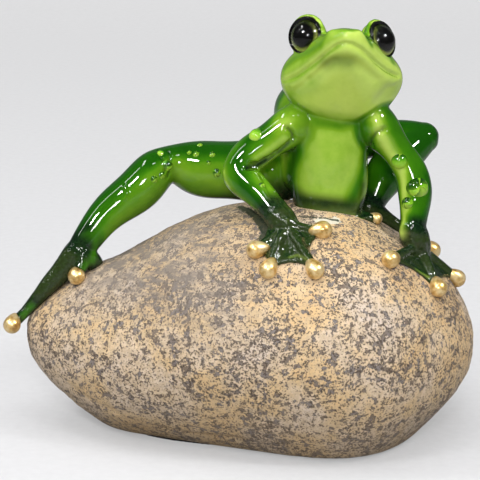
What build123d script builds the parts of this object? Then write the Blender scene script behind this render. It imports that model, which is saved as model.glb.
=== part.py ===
"""Frog on a pebble: a lacquered ornament, made as its castings, eyes, dew drops, toe pads and pins."""

from build123d import *

import os
from math import cos, radians, sin

os.makedirs("parts", exist_ok=True)

# Driving dimensions, in millimetres, and angles in degrees.
# The pebble, a hollow casting with a felt under it and a bung in its pour hole.
stone_length = 145.0
stone_depth = 90.0
stone_height = 74.0
stone_wall = 7.0
felt_thickness = 1.5
felt_recess = 0.8
felt_margin = 10.0
pour_hole_diameter = 24.0
bung_rim = 3.0
bung_rim_height = 2.5
bung_reach = 2.0

# The frog's trunk: the hips and back are turned away from the chest, which faces the front.
body_width = 27.5
body_depth = 41.0
body_height = 39.0
body_turn = 19.0
chest_width = 24.6
chest_depth = 19.5

# The head is tipped back so that the throat shows, and leans a little to its left.
head_width = 39.0
head_length = 47.0
head_height = 23.5
head_tip_angle = 38.0
head_lean_angle = 3.9

# Each eye is a black cup in the head, a painted iris disc and a domed glass. A lid runs round the cup.
eye_bulge_diameter = 12.0
eye_bulge_rise = 0.7
eye_lid_thickness = 1.9
eye_lid_rise = 0.9
eye_cup_diameter = 11.4
eye_cup_depth = 3.6
eye_cup_sink = 0.8
eye_glass_diameter = 10.0
eye_glass_drop = 0.4
eye_glass_seat = 1.0
eye_glass_swell = 3.4
iris_thickness = 0.5
right_eye_yaw = 37.0
left_eye_yaw = 52.0
right_eye_lift = 14.0
left_eye_lift = 20.0

# The limbs, hands and feet.
arm_thickness = 11.0
right_leg_thickness = 17.8
left_leg_thickness = 11.0
finger_thickness = 3.4
right_foot_thickness = 8.0
left_foot_thickness = 5.6
web_thickness = 1.3
drop_diameter = 7.4
toe_pad_diameter = 5.8
toe_overhang = 6.0

# The pins that the castings are pegged together with.
pin_diameter = 2.0
pin_length = 12.0
seat_pin_diameter = 3.0
seat_pin_length = 14.0
seat_pin_spacing = 14.0
pin_clearance = 0.1

# Pebble sections, left tip to right tip: place along the length, then middle and half depth as shares of the
# depth, then underside, waist and top as shares of the height. The underside dips below the foot.
stone_section_shares = [
    (0.010, 0.067, 0.072, 0.295, 0.401, 0.483),
    (0.035, 0.067, 0.140, 0.222, 0.389, 0.536),
    (0.085, 0.067, 0.225, 0.130, 0.374, 0.618),
    (0.170, 0.056, 0.325, 0.010, 0.384, 0.715),
    (0.290, 0.040, 0.415, -0.041, 0.430, 0.845),
    (0.420, 0.010, 0.470, -0.073, 0.461, 0.961),
    (0.560, -0.020, 0.500, -0.120, 0.454, 1.000),
    (0.700, -0.033, 0.505, -0.150, 0.434, 0.990),
    (0.820, -0.025, 0.450, -0.050, 0.396, 0.874),
    (0.905, 0.000, 0.345, 0.062, 0.386, 0.749),
    (0.962, 0.000, 0.220, 0.189, 0.386, 0.623),
    (0.989, 0.000, 0.115, 0.285, 0.396, 0.512),
]
stone_left_share = -0.478

# The widest place of the egg-shaped felt, along the pebble.
felt_middle_share = 0.70

# Trunk sections, bottom to top: height above the seat as a share of the body height, middle towards the
# back as a share of the body depth, then half width and half depth as shares of the body width and depth.
trunk_section_shares = [
    (-0.05, 0.00, 0.29, 0.34),
    (0.15, 0.02, 0.43, 0.47),
    (0.34, 0.01, 0.49, 0.50),
    (0.53, -0.01, 0.49, 0.47),
    (0.71, -0.01, 0.52, 0.43),
    (0.85, -0.02, 0.50, 0.38),
    (0.97, -0.05, 0.40, 0.30),
    (1.05, -0.08, 0.22, 0.17),
]
trunk_tip_share = 1.09

# Chest sections, bottom to top: height share, then half width and half depth shares of the chest's own.
chest_section_shares = [
    (-0.03, 0.34, 0.30),
    (0.09, 0.46, 0.43),
    (0.30, 0.50, 0.50),
    (0.53, 0.50, 0.46),
    (0.72, 0.51, 0.41),
    (0.87, 0.38, 0.36),
]
chest_tip_share = 0.99
chest_place_shares = (-0.01, -0.24, 0.0)

# Head sections, snout to nape: place along the head's axis as a share of its length, then half width,
# rise and drop as shares of the head's width and height. The tips are places along the same axis.
head_section_shares = [
    (0.44, 0.05, 0.06, 0.06),
    (0.38, 0.13, 0.15, 0.15),
    (0.25, 0.235, 0.30, 0.28),
    (0.08, 0.36, 0.43, 0.40),
    (-0.10, 0.48, 0.49, 0.51),
    (-0.28, 0.45, 0.49, 0.55),
    (-0.43, 0.31, 0.43, 0.51),
]
head_tip_shares = (0.46, -0.54)
head_place_shares = (0.015, -0.456, 1.176)
right_eye_place_shares = (-0.284, 0.379, 0.064)
left_eye_place_shares = (0.257, 0.352, 0.064)

# Limb rows, body to hand or foot: place along the chord between the limb's two ends, then how far aside,
# back and up it bows as shares of the chord, then half thickness as a share of the limb's thickness.
right_arm_shares = [
    (0.00, 0.00, 0.00, 0.00, 0.59),
    (0.20, -0.22, 0.05, 0.00, 0.51),
    (0.39, -0.40, 0.12, 0.00, 0.51),
    (0.56, -0.45, 0.16, 0.00, 0.51),
    (0.73, -0.29, 0.11, 0.00, 0.47),
    (0.88, -0.11, 0.04, 0.00, 0.40),
    (1.00, 0.00, 0.00, 0.00, 0.36),
]
left_arm_shares = [
    (0.00, 0.00, 0.00, 0.00, 0.59),
    (0.22, 0.09, 0.04, 0.00, 0.46),
    (0.46, 0.16, 0.06, 0.00, 0.48),
    (0.68, 0.13, 0.04, 0.00, 0.48),
    (0.86, 0.06, 0.01, 0.00, 0.40),
    (1.00, 0.00, 0.00, 0.00, 0.35),
]
right_leg_shares = [
    (0.00, 0.00, 0.00, -0.016, 0.58),
    (0.14, 0.00, 0.06, 0.018, 0.585),
    (0.27, 0.00, 0.11, 0.060, 0.53),
    (0.41, 0.00, 0.14, 0.114, 0.515),
    (0.52, 0.00, 0.15, 0.171, 0.405),
    (0.60, 0.00, 0.13, 0.200, 0.355),
    (0.69, 0.00, 0.10, 0.165, 0.41),
    (0.81, 0.00, 0.08, 0.12, 0.37),
    (0.89, 0.00, 0.05, 0.09, 0.32),
    (0.95, 0.00, 0.02, 0.045, 0.28),
    (1.00, 0.00, 0.00, 0.00, 0.24),
]
left_thigh_shares = [
    (0.00, 0.00, 0.00, 0.00, 0.55),
    (0.34, 0.00, 0.06, 0.04, 0.55),
    (0.68, 0.00, 0.09, 0.04, 0.51),
    (1.00, 0.00, 0.00, 0.00, 0.47),
]
left_shin_shares = [
    (0.00, 0.00, 0.00, 0.00, 0.47),
    (0.32, -0.06, 0.02, 0.03, 0.60),
    (0.59, -0.09, 0.02, 0.04, 0.62),
    (0.81, -0.07, 0.00, 0.03, 0.49),
    (1.00, -0.03, 0.00, 0.00, 0.34),
]

# A limb's rounded end: how far out its last ring lies, and how wide it is, as shares of the end's radius.
limb_end_shares = (0.6, 0.8)

# Where the limbs and the neck leave the trunk: shares of its width, depth and height from the seat.
right_shoulder_shares = (-0.43, -0.21, 0.69)
left_shoulder_shares = (0.46, -0.42, 0.69)
right_hip_shares = (-0.33, 0.18, 0.27)
left_hip_shares = (0.28, 0.19, 0.37)
left_knee_shares = (1.32, 0.01, 0.46)
neck_shares = (0.02, -0.17, 0.62)

# Each limb's pin starts this far along its first two rows, and points at the trunk's middle at a share of the
# body height. The seat pins sink into a share of the pebble's wall.
right_shoulder_peg_share = 0.8
left_shoulder_peg_share = 1.0
right_hip_peg_share = 1.0
left_hip_peg_share = 1.1
shoulder_peg_rise_share = 0.55
hip_peg_rise_share = 0.30
seat_pin_sink_share = 0.8

# A place on the pebble is a share of its length and a turn about its middle line, in degrees: a turn of
# 90 is the top, and more is towards the front.
seat_share_turn = (0.652, 73)
right_wrist_place_share = (0.556, 112)
right_palm_place_share = (0.580, 117)
right_hand_back_share = (0.545, 106)
right_finger_place_shares = [(0.512, 131.5), (0.538, 141), (0.634, 140.5), (0.652, 119.5)]
left_wrist_place_share = (0.828, 103)
left_palm_place_share = (0.860, 104)
left_hand_back_share = (0.865, 92)
left_finger_place_shares = [(0.789, 127), (0.894, 132), (0.946, 98)]
right_ankle_place_share = (0.149, 90)
right_long_toe_place_share = (0.010, 150)
right_inner_toe_place_share = (0.125, 107)
left_heel_place_share = (0.765, 77)
left_long_toe_place_share = (0.897, 79)
left_inner_toe_place_share = (0.769, 95)

# How far the wrists, the ankle and the heel lie off the pebble, as shares of their limb's thickness.
right_wrist_lift_share = 0.30
left_wrist_lift_share = 0.50
right_ankle_lift_share = 0.93
left_heel_lift_share = 0.36

# Rows of the feet: place on the pebble, then lift and half thickness as shares of the foot's thickness.
right_long_toe_shares = [
    (0.149, 90, 0.93, 0.53),
    (0.114, 92, 0.64, 0.49),
    (0.089, 94, 0.47, 0.43),
    (0.064, 97, 0.38, 0.37),
    (0.040, 100, 0.30, 0.30),
    (0.017, 103, 0.25, 0.25),
]
right_inner_toe_shares = [
    (0.155, 92, 0.87, 0.31),
    (0.142, 101, 0.45, 0.27),
    (0.125, 107, 0.27, 0.22),
]
right_heel_shares = [
    (0.150, 93, 0.80, 0.42),
    (0.158, 91, 0.18, 0.38),
]
left_long_toe_shares = [
    (0.755, 80, 0.40, 0.60),
    (0.800, 80, 0.30, 0.42),
    (0.845, 80, 0.28, 0.36),
    (0.890, 79, 0.32, 0.32),
]
left_inner_toe_shares = [
    (0.712, 90, 0.25, 0.55),
    (0.742, 93, 0.22, 0.48),
    (0.766, 95, 0.20, 0.34),
]

# Fingers taper from the palm to the pad: place along the finger and thickness, as shares. The palm's mound
# runs from the wrist, its half thickness a share of the arm's. The webs dip between the toes, and less so
# beside the wrist.
finger_taper_shares = [(0.0, 1.3), (0.35, 1.0), (0.7, 0.85), (1.0, 0.9)]
finger_lift_share = 0.35
palm_mound_shares = [(0.0, 0.40), (0.5, 0.42), (1.0, 0.36)]
right_web_dip_share = 0.20
left_web_dip_share = 0.11
web_back_dip_share = 0.33

# How far the toe pads' middles stand off the pebble, and the sizes of the odd ones, as pad shares.
toe_pad_lift_share = 0.28
toe_tip_share = 0.22
left_inner_pad_share = 0.66
right_inner_pad_lift_share = 0.35

# Crumbs smaller than this share of a piece are cleaned off the castings.
crumb_share = 0.02

# Dew drops: how far along the limb's rows, how far round the limb as a share of a full turn, and diameter
# as a share of the largest drop's. A drop is sunk into the limb by a share of its own diameter.
right_arm_drop_shares = [(1.28, 0.317, 0.81), (4.48, 0.164, 0.31)]
left_arm_drop_shares = [(1.43, 0.855, 0.71), (2.73, 0.763, 1.0), (3.42, 0.894, 0.61)]
right_leg_drop_shares = [
    (5.04, 0.183, 0.65),
    (5.00, 0.308, 0.37),
    (5.47, 0.158, 0.45),
    (5.81, 0.173, 0.45),
    (3.56, 0.297, 0.24),
    (3.24, 0.284, 0.34),
    (3.13, 0.359, 0.31),
    (2.47, 0.281, 0.34),
    (2.56, 0.231, 0.24),
    (2.26, 0.176, 0.44),
]
drop_sink_share = 0.80


def oval(plane, half_width, above, below):
    """Draws an oval of four quarter arcs, half_width to each side, above and below the plane's x axis."""
    with BuildSketch(plane, mode=Mode.PRIVATE) as section:
        with BuildLine():
            for quarter, height in enumerate((above, above, below, below)):
                EllipticalCenterArc((0, 0), half_width, height, start_angle=90 * quarter, arc_size=90)
        make_face()
    return section.sketch


def pebble(grow):
    """Lofts the pebble's outer form, thicker by grow on every section, inside the caller's part."""
    left_end = stone_left - grow
    right_end = stone_left + stone_length + grow
    sections = []
    middles = []
    for along, middle, half_depth, under, waist, top in stone_section_shares:
        place = Vector(stone_left + along * stone_length, middle * stone_depth, waist * stone_height)
        if left_end < place.X < right_end:
            sections.append(oval(Plane(origin=place, x_dir=(0, 1, 0), z_dir=(1, 0, 0)),
                half_depth * stone_depth + grow, (top - waist) * stone_height + grow,
                (waist - under) * stone_height + grow))
            middles.append(place)
    left_tip = Vertex(left_end, middles[0].Y, middles[0].Z)
    right_tip = Vertex(right_end, middles[-1].Y, middles[-1].Z)
    loft([left_tip, *sections, right_tip])


def keep_above(height):
    """Cuts the caller's part away below a height."""
    with Locations((0, 0, height + stone_height)):
        Box(2 * stone_length, 2 * stone_length, 2 * stone_height, mode=Mode.INTERSECT)


def middle_line(along):
    """Gives the y and z of the pebble's waist line at a share of its length."""
    rows = stone_section_shares
    after = next((number for number, row in enumerate(rows) if row[0] > along), len(rows) - 1)
    low, high = rows[max(after - 1, 0)], rows[after]
    mix = (along - low[0]) / (high[0] - low[0]) if after else 0
    middle, waist = (low[item] + mix * (high[item] - low[item]) for item in (1, 4))
    return middle * stone_depth, waist * stone_height


def on_stone(place, lift):
    """Finds a place on the pebble, raised by lift from its skin."""
    along, turn = place
    y, z = middle_line(along)
    outward = Vector(0, cos(radians(turn)), sin(radians(turn)))
    start = Vector(stone_left + along * stone_length, y, z)
    point, normal = pebble_skin.find_intersection_points(Axis(start, outward))[-1]
    return point + normal * (lift if normal.dot(outward) > 0 else -lift)


def limb_planes(rows):
    """Gives each row of a limb a plane square to the limb, all turned alike about it."""
    centres = [centre for centre, _ in rows]
    bend = (centres[len(rows) // 2] - centres[0]).cross(centres[-1] - centres[0])
    facing = bend.normalized() if len(rows) > 2 and bend.length > rows[0][1] else Vector(0, 0, 1)
    planes = []
    for place, centre in enumerate(centres):
        along = (centres[min(place + 1, len(rows) - 1)] - centres[max(place - 1, 0)]).normalized()
        planes.append(Plane(origin=centre, x_dir=facing.cross(along).normalized(), z_dir=along))
    return planes


def limb(rows):
    """Lofts a round limb through rows of centre and half thickness, with rounded ends."""
    planes = limb_planes(rows)
    sections = [oval(plane, radius, radius, radius) for plane, (_, radius) in zip(planes, rows)]
    for end, side in ((0, -1), (-1, 1)):
        radius = rows[end][1]
        place_share, round_share = limb_end_shares
        ring = round_share * radius
        rounding = oval(planes[end].offset(side * place_share * radius), ring, ring, ring)
        tip = Vertex(*planes[end].offset(side * radius).origin)
        sections = [tip, rounding, *sections] if side < 0 else [*sections, rounding, tip]
    loft(sections)


def bowed(start, end, thickness, shares):
    """Places a limb's rows: along the chord from start to end, aside, back and up as shares of its length."""
    chord = end - start
    return [(start + chord * along + Vector(aside, back, up) * chord.length, thickness * half)
        for along, aside, back, up, half in shares]


def laid(thickness, shares):
    """Places the rows of a toe that lies along the pebble."""
    return [(on_stone((along, turn), lift * thickness), half * thickness)
        for along, turn, lift, half in shares]


def cut_by(*others):
    """Cuts the caller's part by other pieces, so that it meets them face to face."""
    for other in others:
        add(other.part, mode=Mode.SUBTRACT)


def drop_crumbs():
    """Cleans off the crumbs that the cuts leave beside a casting."""
    pieces = solids().sort_by(SortBy.VOLUME)
    for crumb in pieces:
        if crumb.volume < crumb_share * pieces[-1].volume:
            add(crumb, mode=Mode.SUBTRACT)


def finish(piece, name):
    """Labels a finished piece and writes it under its name."""
    piece.part.label = name
    export_step(piece.part, f"parts/{name}.step")


stone_left = stone_left_share * stone_length
foot_height = felt_thickness - felt_recess

# The pebble's whole outer form, which the frog is cut to, and the form that is thicker by the webs.
with BuildPart() as pebble_form:
    pebble(0)
    keep_above(foot_height)
pebble_skin = pebble_form.part.shell()
with BuildPart() as web_form:
    pebble(web_thickness)

# The body plane stands on the seat, the point of the pebble under the middle of the trunk.
seat = on_stone(seat_share_turn, 0)
body_plane = Plane(origin=seat, z_dir=(0, 0, 1), x_dir=(cos(radians(body_turn)), sin(radians(body_turn)), 0))


def body_point(side, back, up):
    """Gives a point of the body by shares of its width, depth and height from the seat."""
    return body_plane.from_local_coords(Vector(side * body_width, back * body_depth, up * body_height))


# Places of the limbs' ends.
right_shoulder = body_point(*right_shoulder_shares)
left_shoulder = body_point(*left_shoulder_shares)
right_hip = body_point(*right_hip_shares)
left_hip = body_point(*left_hip_shares)
left_knee = body_point(*left_knee_shares)
right_wrist = on_stone(right_wrist_place_share, right_wrist_lift_share * arm_thickness)
left_wrist = on_stone(left_wrist_place_share, left_wrist_lift_share * arm_thickness)
right_ankle = on_stone(right_ankle_place_share, right_ankle_lift_share * right_foot_thickness)
left_heel = on_stone(left_heel_place_share, left_heel_lift_share * left_leg_thickness)
right_arm_rows = bowed(right_shoulder, right_wrist, arm_thickness, right_arm_shares)
left_arm_rows = bowed(left_shoulder, left_wrist, arm_thickness, left_arm_shares)
right_leg_rows = bowed(right_hip, right_ankle, right_leg_thickness, right_leg_shares)
left_thigh_rows = bowed(left_hip, left_knee, left_leg_thickness, left_thigh_shares)
left_shin_rows = bowed(left_knee, left_heel, left_leg_thickness, left_shin_shares)

# The head plane looks along the snout, with its y axis towards the crown.
head_plane = Plane(origin=body_point(*head_place_shares),
    x_dir=(cos(radians(head_lean_angle)), 0, -sin(radians(head_lean_angle))),
    z_dir=(0, -cos(radians(head_tip_angle)), sin(radians(head_tip_angle))))


def eye_plane(place_shares, yaw, lift):
    """Gives the plane of an eye: its origin is in the head, under the eye's cup, and it looks along z."""
    share_side, share_rise, share_front = place_shares
    middle = head_plane.from_local_coords(Vector(share_side * head_width, share_rise * head_height,
        share_front * head_length))
    flat = cos(radians(lift))
    looking = Vector(sin(radians(yaw)) * flat, -cos(radians(yaw)) * flat, sin(radians(lift)))
    return Plane(origin=middle, x_dir=Vector(0, 0, 1).cross(looking), z_dir=looking)


def disc(plane, diameter, height, mode=Mode.ADD):
    """Raises a round disc or pin from a plane, inside the caller's part."""
    with BuildSketch(plane, mode=Mode.PRIVATE) as section:
        Circle(diameter / 2)
    extrude(section.sketch, amount=height, mode=mode)


def pins(places, diameter):
    """Makes a round pin at each place, which is a pin's two ends."""
    for start, end in places:
        disc(Plane(origin=start, z_dir=end - start), diameter, (end - start).length)


def pegged(rows, share, rise):
    """Gives the ends of a pin that pegs a limb to the middle of the trunk."""
    start = rows[0][0] + (rows[1][0] - rows[0][0]) * share
    return start, start + (body_point(0, 0, rise) - start).normalized() * pin_length


# Pins and their holes: one in the neck, one in each shoulder and hip, and two from the trunk into the pebble.
neck = body_point(*neck_shares)
neck_pin_places = [(neck, neck + Vector(0, 0, pin_length))]
shoulder_pin_places = [
    pegged(right_arm_rows, right_shoulder_peg_share, shoulder_peg_rise_share),
    pegged(left_arm_rows, left_shoulder_peg_share, shoulder_peg_rise_share),
]
hip_pin_places = [
    pegged(right_leg_rows, right_hip_peg_share, hip_peg_rise_share),
    pegged(left_thigh_rows, left_hip_peg_share, hip_peg_rise_share),
]
seat_pin_places = []
for side in (-1, 1):
    foot_end = Vector(0, side * seat_pin_spacing / 2, -seat_pin_sink_share * stone_wall)
    foot_end = body_plane.from_local_coords(foot_end)
    seat_pin_places.append((foot_end, foot_end + Vector(0, 0, seat_pin_length)))
with BuildPart() as neck_pin_hole:
    pins(neck_pin_places, pin_diameter + 2 * pin_clearance)
with BuildPart() as shoulder_pin_holes:
    pins(shoulder_pin_places, pin_diameter + 2 * pin_clearance)
with BuildPart() as hip_pin_holes:
    pins(hip_pin_places, pin_diameter + 2 * pin_clearance)
with BuildPart() as seat_pin_holes:
    pins(seat_pin_places, seat_pin_diameter + 2 * pin_clearance)


# Head: the skull and jaw in one casting, with a bulge, a lid and a round seat for each eye.
right_eye_plane = eye_plane(right_eye_place_shares, -right_eye_yaw, right_eye_lift)
left_eye_plane = eye_plane(left_eye_place_shares, left_eye_yaw, left_eye_lift)
with BuildPart() as head:
    sections = []
    for along, side, rise, drop in head_section_shares:
        sections.append(oval(head_plane.offset(along * head_length), side * head_width,
            rise * head_height, drop * head_height))
    snout, nape = (Vertex(*head_plane.offset(share * head_length).origin) for share in head_tip_shares)
    loft([snout, *sections, nape])
    for plane in (right_eye_plane, left_eye_plane):
        with Locations(plane.offset(eye_bulge_rise).origin):
            Sphere(eye_bulge_diameter / 2)
        with Locations(plane.offset(eye_lid_rise)):
            Torus(eye_cup_diameter / 2, eye_lid_thickness / 2)
    for plane in (right_eye_plane, left_eye_plane):
        disc(plane.offset(-eye_cup_sink), eye_cup_diameter, eye_bulge_diameter, Mode.SUBTRACT)
    cut_by(neck_pin_hole)


def seat_plane(plane):
    """Gives the plane of the seat in an eye's cup, a little below the cup's middle."""
    return Plane(origin=plane.offset(eye_cup_depth - eye_cup_sink - eye_glass_seat).origin
        - plane.y_dir * eye_glass_drop, x_dir=plane.x_dir, z_dir=plane.z_dir)


def eye_cup(plane):
    """Turns a cup for an eye, with a shallow seat in its front for the iris disc and the glass."""
    disc(plane.offset(-eye_cup_sink), eye_cup_diameter, eye_cup_depth)
    disc(seat_plane(plane), eye_glass_diameter, 2 * eye_cup_depth, Mode.SUBTRACT)


def eye_glass(plane):
    """Grinds a domed glass, flat behind, that sits on the iris disc."""
    flat = seat_plane(plane).offset(iris_thickness)
    ball = (eye_glass_diameter ** 2 / 4 + eye_glass_swell ** 2) / (2 * eye_glass_swell)
    disc(flat, eye_glass_diameter, eye_glass_swell)
    with Locations(flat.offset(eye_glass_swell - ball).origin):
        Sphere(ball, mode=Mode.INTERSECT)


with BuildPart() as right_eye_cup:
    eye_cup(right_eye_plane)
with BuildPart() as left_eye_cup:
    eye_cup(left_eye_plane)
with BuildPart() as right_eye_iris:
    disc(seat_plane(right_eye_plane), eye_glass_diameter, iris_thickness)
with BuildPart() as left_eye_iris:
    disc(seat_plane(left_eye_plane), eye_glass_diameter, iris_thickness)
with BuildPart() as right_eye_glass:
    eye_glass(right_eye_plane)
with BuildPart() as left_eye_glass:
    eye_glass(left_eye_plane)

# Trunk: hips and back in one lobe and the chest in another, one casting cut to the head and the pebble.
with BuildPart() as trunk:
    sections = []
    for up, back, side, depth in trunk_section_shares:
        level = body_plane.offset(up * body_height).move(Location(body_plane.y_dir * back * body_depth))
        sections.append(oval(level, side * body_width, depth * body_depth, depth * body_depth))
    loft([*sections, Vertex(*body_point(0, 0, trunk_tip_share))])
    chest_plane = Plane(body_point(*chest_place_shares))
    sections = [oval(chest_plane.offset(up * body_height), side * chest_width, depth * chest_depth,
        depth * chest_depth) for up, side, depth in chest_section_shares]
    loft([*sections, Vertex(*chest_plane.offset(chest_tip_share * body_height).origin)])
    cut_by(head, pebble_form, neck_pin_hole, shoulder_pin_holes, hip_pin_holes, seat_pin_holes)


def between(first, second, share):
    """Gives a place on the pebble between two others."""
    return tuple(a + (b - a) * share for a, b in zip(first, second))


def digit(start, end, thickness):
    """Lofts a finger that lies along the pebble from one place to another."""
    limb([(on_stone(between(start, end, share), finger_lift_share * thickness), half * thickness / 2)
        for share, half in finger_taper_shares])


def web(palm, back, places, dip_share, reach):
    """Spreads a skin of web thickness over the pebble, from behind the palm out to the toes."""
    middle = on_stone(palm, 0)
    plane = Plane(origin=middle, z_dir=on_stone(palm, reach) - middle)
    corners = [plane.to_local_coords(on_stone(place, 0)) for place in (*places, back)]
    with BuildSketch(plane, mode=Mode.PRIVATE) as outline:
        with BuildLine():
            for first, second in zip(corners, [*corners[1:], corners[0]]):
                share = dip_share * (web_back_dip_share if corners[-1] in (first, second) else 1)
                halfway = (first + second) / 2
                dip = halfway - halfway.normalized() * (second - first).length * share
                ThreePointArc((first.X, first.Y), (dip.X, dip.Y), (second.X, second.Y))
        make_face()
    extrude(outline.sketch, amount=reach, both=True)
    add(web_form.part, mode=Mode.INTERSECT)


def hand(wrist, palm, back, places, dip_share, pads):
    """Builds a hand: its web, its fingers and the palm's mound up to the wrist, cut to the pebble."""
    web(palm, back, places, dip_share, 2 * arm_thickness)
    for place in places:
        digit(palm, place, finger_thickness)
    palm_point = on_stone(palm, finger_lift_share * finger_thickness)
    limb([(wrist + (palm_point - wrist) * share, half * arm_thickness) for share, half in palm_mound_shares])
    cut_by(pebble_form, pads)
    drop_crumbs()


def toe_pad(place, lift, diameter):
    """Sets a gilt bead on the pebble."""
    middle = on_stone(place, lift)
    with Locations(Plane(origin=middle, z_dir=middle - on_stone(place, 0))):
        Sphere(diameter / 2)


# Hands: webbed castings, each with its gilt toe pads as a set of beads.
with BuildPart() as right_hand_pads:
    for place in right_finger_place_shares:
        toe_pad(place, toe_pad_lift_share * toe_pad_diameter, toe_pad_diameter)
    cut_by(pebble_form)
with BuildPart() as left_hand_pads:
    for place in left_finger_place_shares:
        toe_pad(place, toe_pad_lift_share * toe_pad_diameter, toe_pad_diameter)
    cut_by(pebble_form)
with BuildPart() as right_hand:
    hand(right_wrist, right_palm_place_share, right_hand_back_share, right_finger_place_shares,
        right_web_dip_share, right_hand_pads)
with BuildPart() as left_hand:
    hand(left_wrist, left_palm_place_share, left_hand_back_share, left_finger_place_shares,
        left_web_dip_share, left_hand_pads)

# Arms: cut to the shoulders, the jaw and the hands.
with BuildPart() as right_arm:
    limb(right_arm_rows)
    cut_by(trunk, head, right_hand, pebble_form, shoulder_pin_holes)
    drop_crumbs()
with BuildPart() as left_arm:
    limb(left_arm_rows)
    cut_by(trunk, head, left_hand, pebble_form, shoulder_pin_holes)
    drop_crumbs()

# Right foot: a long toe that runs down the pebble's end and hangs over it, an inner toe and a heel.
toe_end = on_stone(right_long_toe_place_share, toe_overhang)
with BuildPart() as right_foot_pads:
    with Locations(toe_end):
        Sphere(toe_pad_diameter / 2)
    toe_pad(right_inner_toe_place_share, right_inner_pad_lift_share * toe_pad_diameter, toe_pad_diameter)
    cut_by(pebble_form)
with BuildPart() as right_foot:
    limb([*laid(right_foot_thickness, right_long_toe_shares),
        (toe_end, toe_tip_share * right_foot_thickness)])
    limb(laid(right_foot_thickness, right_inner_toe_shares))
    limb(laid(right_foot_thickness, right_heel_shares))
    cut_by(pebble_form, right_foot_pads)
    drop_crumbs()
with BuildPart() as right_leg:
    limb(right_leg_rows)
    cut_by(trunk, right_foot, right_arm, pebble_form, hip_pin_holes)
    drop_crumbs()

# Left foot and leg: the foot runs behind the left wrist, and the shin comes back down to the heel.
with BuildPart() as left_foot_pads:
    toe_pad(left_long_toe_place_share, toe_pad_lift_share * toe_pad_diameter, toe_pad_diameter)
    toe_pad(left_inner_toe_place_share, toe_pad_lift_share * toe_pad_diameter,
        left_inner_pad_share * toe_pad_diameter)
    cut_by(pebble_form, left_hand)
with BuildPart() as left_foot:
    limb(laid(left_foot_thickness, left_long_toe_shares))
    limb(laid(left_foot_thickness, left_inner_toe_shares))
    cut_by(pebble_form, left_foot_pads, trunk, left_hand, left_hand_pads, left_arm)
    drop_crumbs()
with BuildPart() as left_leg:
    limb(left_thigh_rows)
    limb(left_shin_rows)
    cut_by(trunk, left_foot, left_arm, pebble_form, hip_pin_holes)
    drop_crumbs()


def dew(rows, drops, *limbs):
    """Sets clear drops on a limb: each is sunk into it, and cut to it behind."""
    planes = limb_planes(rows)
    for along, round_share, size in drops:
        number = min(int(along), len(rows) - 2)
        mix = along - number
        near, far = planes[number], planes[number + 1]
        outward = near.x_dir.rotate(Axis(near.origin, near.z_dir), 360 * round_share)
        middle = near.origin + (far.origin - near.origin) * mix
        radius = rows[number][1] + (rows[number + 1][1] - rows[number][1]) * mix
        diameter = size * drop_diameter
        rise = radius + diameter / 2 - drop_sink_share * diameter
        with Locations(Plane(origin=middle + outward * rise, z_dir=outward)):
            Sphere(diameter / 2)
    cut_by(*limbs)


with BuildPart() as right_arm_drops:
    dew(right_arm_rows, right_arm_drop_shares, right_arm, trunk)
with BuildPart() as left_arm_drops:
    dew(left_arm_rows, left_arm_drop_shares, left_arm, left_hand)
with BuildPart() as right_leg_drops:
    dew(right_leg_rows, right_leg_drop_shares, right_leg, trunk)

# Pins that peg the castings together and to the pebble.
with BuildPart() as neck_pin:
    pins(neck_pin_places, pin_diameter)
with BuildPart() as shoulder_pins:
    pins(shoulder_pin_places, pin_diameter)
with BuildPart() as hip_pins:
    pins(hip_pin_places, pin_diameter)
with BuildPart() as seat_pins:
    pins(seat_pin_places, seat_pin_diameter)

# Pebble: a hollow casting with a flat foot, a sunk bed for the felt and a stepped pour hole for the bung.
foot = pebble_form.faces().sort_by(Axis.Z)[0].bounding_box()
foot_centre = Vector(foot.center().X, foot.center().Y, 0)
felt_centre = Vector(stone_left + felt_middle_share * stone_length, foot.center().Y, 0)
felt_outline = oval(Plane(origin=felt_centre, x_dir=(0, 1, 0), z_dir=(0, 0, 1)),
    foot.size.Y / 2 - felt_margin, felt_centre.X - foot.min.X - felt_margin,
    foot.max.X - felt_centre.X - felt_margin)
with BuildPart() as base_felt:
    extrude(felt_outline, amount=felt_thickness)
with BuildPart() as stone_bung:
    disc(Plane(foot_centre).offset(felt_thickness), pour_hole_diameter + 2 * bung_rim, bung_rim_height)
    disc(Plane(foot_centre).offset(felt_thickness), pour_hole_diameter,
        foot_height - felt_thickness + stone_wall + bung_reach)
with BuildPart() as hollow:
    pebble(-stone_wall)
    keep_above(foot_height + stone_wall)
with BuildPart() as stone_shell:
    add(pebble_form.part)
    cut_by(hollow, base_felt, stone_bung, seat_pin_holes)

finish(stone_shell, "stone_shell")
finish(stone_bung, "stone_bung")
finish(base_felt, "base_felt")
finish(trunk, "trunk")
finish(head, "head")
finish(right_eye_cup, "right_eye_cup")
finish(left_eye_cup, "left_eye_cup")
finish(right_eye_iris, "right_eye_iris")
finish(left_eye_iris, "left_eye_iris")
finish(right_eye_glass, "right_eye_glass")
finish(left_eye_glass, "left_eye_glass")
finish(right_arm, "right_arm")
finish(left_arm, "left_arm")
finish(right_hand, "right_hand")
finish(left_hand, "left_hand")
finish(right_hand_pads, "right_hand_pads")
finish(left_hand_pads, "left_hand_pads")
finish(right_leg, "right_leg")
finish(left_leg, "left_leg")
finish(right_foot, "right_foot")
finish(left_foot, "left_foot")
finish(right_foot_pads, "right_foot_pads")
finish(left_foot_pads, "left_foot_pads")
finish(right_arm_drops, "right_arm_drops")
finish(left_arm_drops, "left_arm_drops")
finish(right_leg_drops, "right_leg_drops")
finish(neck_pin, "neck_pin")
finish(shoulder_pins, "shoulder_pins")
finish(hip_pins, "hip_pins")
finish(seat_pins, "seat_pins")
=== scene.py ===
"""Frog on a pebble: a lacquered skin over its castings, gilt beads, glass eyes, dew and a painted stone."""

from math import cos, pi, radians, sin

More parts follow.
